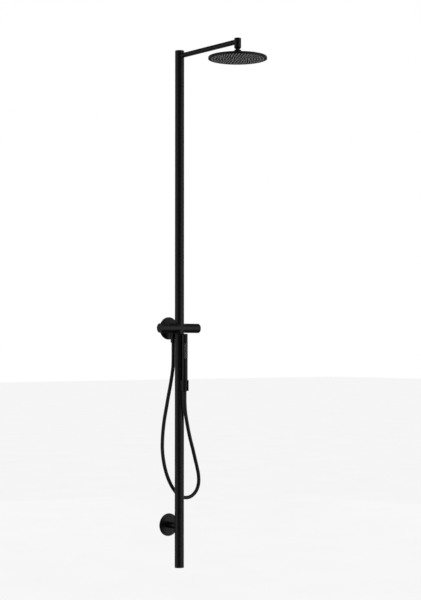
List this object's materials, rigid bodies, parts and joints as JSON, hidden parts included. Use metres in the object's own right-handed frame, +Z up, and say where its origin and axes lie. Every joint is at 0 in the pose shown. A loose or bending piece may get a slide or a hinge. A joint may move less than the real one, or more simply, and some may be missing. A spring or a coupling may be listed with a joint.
{
  "type": "rainfall shower column",
  "caption": "Wall-held shower column: a mixer bar on a tall round riser, a straight arm with a tilting round rain head, and a slim hand shower on a looped hose.",
  "frame": {"origin": "centre of the mixer neck's rear face, on the wall plane, at the height of the mixer bar's axis", "axes": "+Z up along the riser; +Y into the wall; +X to the right of someone who faces the wall"},
  "size_m": [0.231, 0.53, 2.012],
  "materials": {
    "matte_black": "near-black satin coat, very fine grain",
    "face_plastic": "near-black, finely textured",
    "button_plastic": "near-black, satin",
    "black_hose": "smooth black outer skin, satin",
    "nozzle_silicone": "soft grey, matte",
    "seal_rubber": "black, matte",
    "raw_brass": "machined, plain",
    "plain_steel": "plain stainless",
    "inner_plastic": "off-white, moulded"
  },
  "bodies": {
    "column": {"mixer_body": "matte_black", "riser_upper": "matte_black", "riser_lower": "matte_black", "riser_top_cap": "matte_black", "riser_foot_cap": "matte_black", "riser_seals": "seal_rubber", "riser_lock_screws": "plain_steel", "arm_block": "raw_brass", "arm_nipple": "raw_brass", "arm_tube": "matte_black", "arm_end_fitting": "matte_black", "arm_end_plug": "matte_black", "swivel_nut": "matte_black", "upper_flange": "matte_black", "lower_flange": "matte_black", "lower_stub": "matte_black", "lower_clamp_block": "raw_brass", "lower_clamp_screw": "plain_steel", "lower_set_screw": "plain_steel", "supply_filters": "plain_steel", "supply_check_valves": "inner_plastic", "thermostat_cartridge": "raw_brass", "thermostat_ring_nut": "raw_brass", "safety_stop_ring": "inner_plastic", "button_spring": "plain_steel", "diverter_cartridge": "inner_plastic", "diverter_ring_nut": "raw_brass", "hose_outlet_insert": "raw_brass", "hose_upper_nut": "matte_black", "hose_washers": "seal_rubber", "hose": "black_hose", "wand_holder": "matte_black", "holder_screw": "plain_steel", "holder_washer": "plain_steel"},
    "temperature_knob": {"temperature_knob": "matte_black", "temperature_end_cap": "matte_black", "temperature_grub_screw": "plain_steel", "thermostat_stem": "raw_brass"},
    "safety_button": {"safety_button": "button_plastic"},
    "flow_knob": {"flow_knob": "matte_black", "flow_end_cap": "matte_black", "flow_grub_screw": "plain_steel", "diverter_stem": "raw_brass"},
    "head_swivel": {"ball_seat": "inner_plastic"},
    "rain_head": {"ball_stem": "matte_black", "head_collar": "matte_black", "head_shell": "matte_black", "head_face": "face_plastic", "head_seal": "seal_rubber", "nozzle_mat": "nozzle_silicone", "rain_nozzles": "nozzle_silicone"},
    "wand": {"hose_end_nut": "matte_black", "wand_body": "matte_black", "wand_cap": "matte_black", "wand_inlet": "raw_brass", "wand_water_tube": "inner_plastic", "wand_spray_insert": "face_plastic", "wand_nozzles": "nozzle_silicone"}
  },
  "joints": [
    {"name": "temperature_turn", "type": "hinge", "parent": "column", "child": "temperature_knob", "pos_m": [-0.0766, -0.07, 0], "axis": [1, 0, 0], "range_deg": [-60, 150]},
    {"name": "button_press", "type": "slide", "parent": "temperature_knob", "child": "safety_button", "axis": [0, 0.5878, -0.809], "range_m": [0, 0.0012], "stiffness_N_per_m": 300},
    {"name": "flow_turn", "type": "hinge", "parent": "column", "child": "flow_knob", "pos_m": [0.0776, -0.07, 0], "axis": [1, 0, 0], "range_deg": [-90, 90]},
    {"name": "head_turn", "type": "hinge", "parent": "column", "child": "head_swivel", "pos_m": [0, -0.42, 1.0439], "axis": [0, 0, 1], "continuous": true},
    {"name": "head_tilt", "type": "hinge", "parent": "head_swivel", "child": "rain_head", "pos_m": [0, -0.42, 1.0439], "axis": [1, 0, 0], "range_deg": [-10, 10]},
    {"name": "wand_lift", "type": "slide", "parent": "column", "child": "wand", "axis": [0, 0, 1], "range_m": [0, 0.05]}
  ]
}
